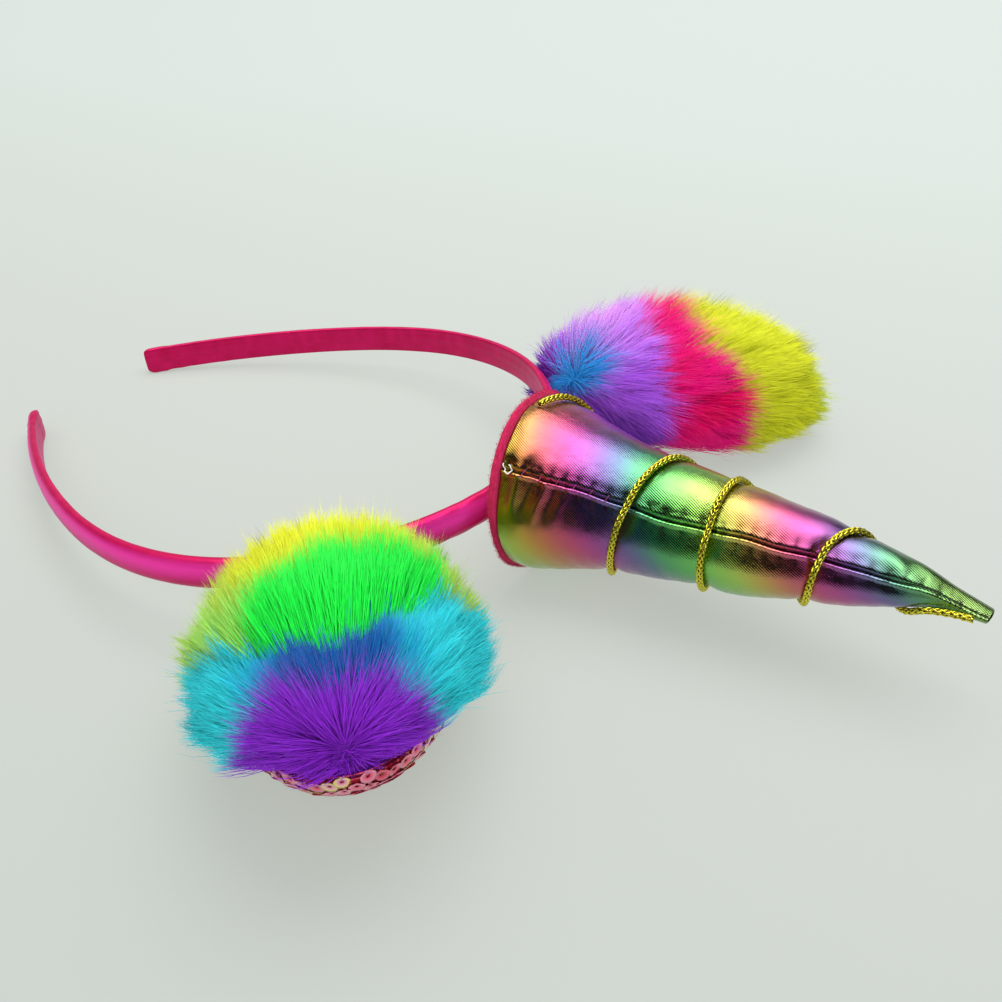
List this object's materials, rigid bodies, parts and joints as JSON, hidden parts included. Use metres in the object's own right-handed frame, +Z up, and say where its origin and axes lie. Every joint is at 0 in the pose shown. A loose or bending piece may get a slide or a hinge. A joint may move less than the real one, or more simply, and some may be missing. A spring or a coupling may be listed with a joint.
{
  "type": "unicorn horn headband",
  "caption": "C-shaped satin hair band with a stuffed foil-cloth horn wound in gold cord on a felt round and furry ears with sequined fronts, lying on its side.",
  "frame": {"origin": "on the table under the middle of the box, with the headband lying on its side", "axes": "+X along the horn to its tip, +Y towards the wearer's left ear, +Z up from the table"},
  "size_m": [0.259, 0.2206, 0.0492],
  "materials": {
    "satin_band": "hot pink satin wound tightly over a plastic core, soft sheen along the outer curve",
    "felt": "matted pink felt",
    "foil_cloth": "metallic rainbow foil on woven cloth, from gold and magenta to purple, teal and green",
    "gold_cord": "tightly braided metallic gold cord",
    "fur": "long soft pile dyed in bands of yellow, green, blue, purple and magenta",
    "sequins": "overlapping round cup sequins, pink and red with a gold glint"
  },
  "bodies": {
    "root": {"headband": "satin_band", "horn_base_disc": "felt", "horn": "foil_cloth", "horn_cord": "gold_cord", "ear_left_fur": "fur", "ear_right_fur": "fur", "ear_left_panel": "sequins", "ear_right_panel": "sequins"}
  },
  "joints": []
}
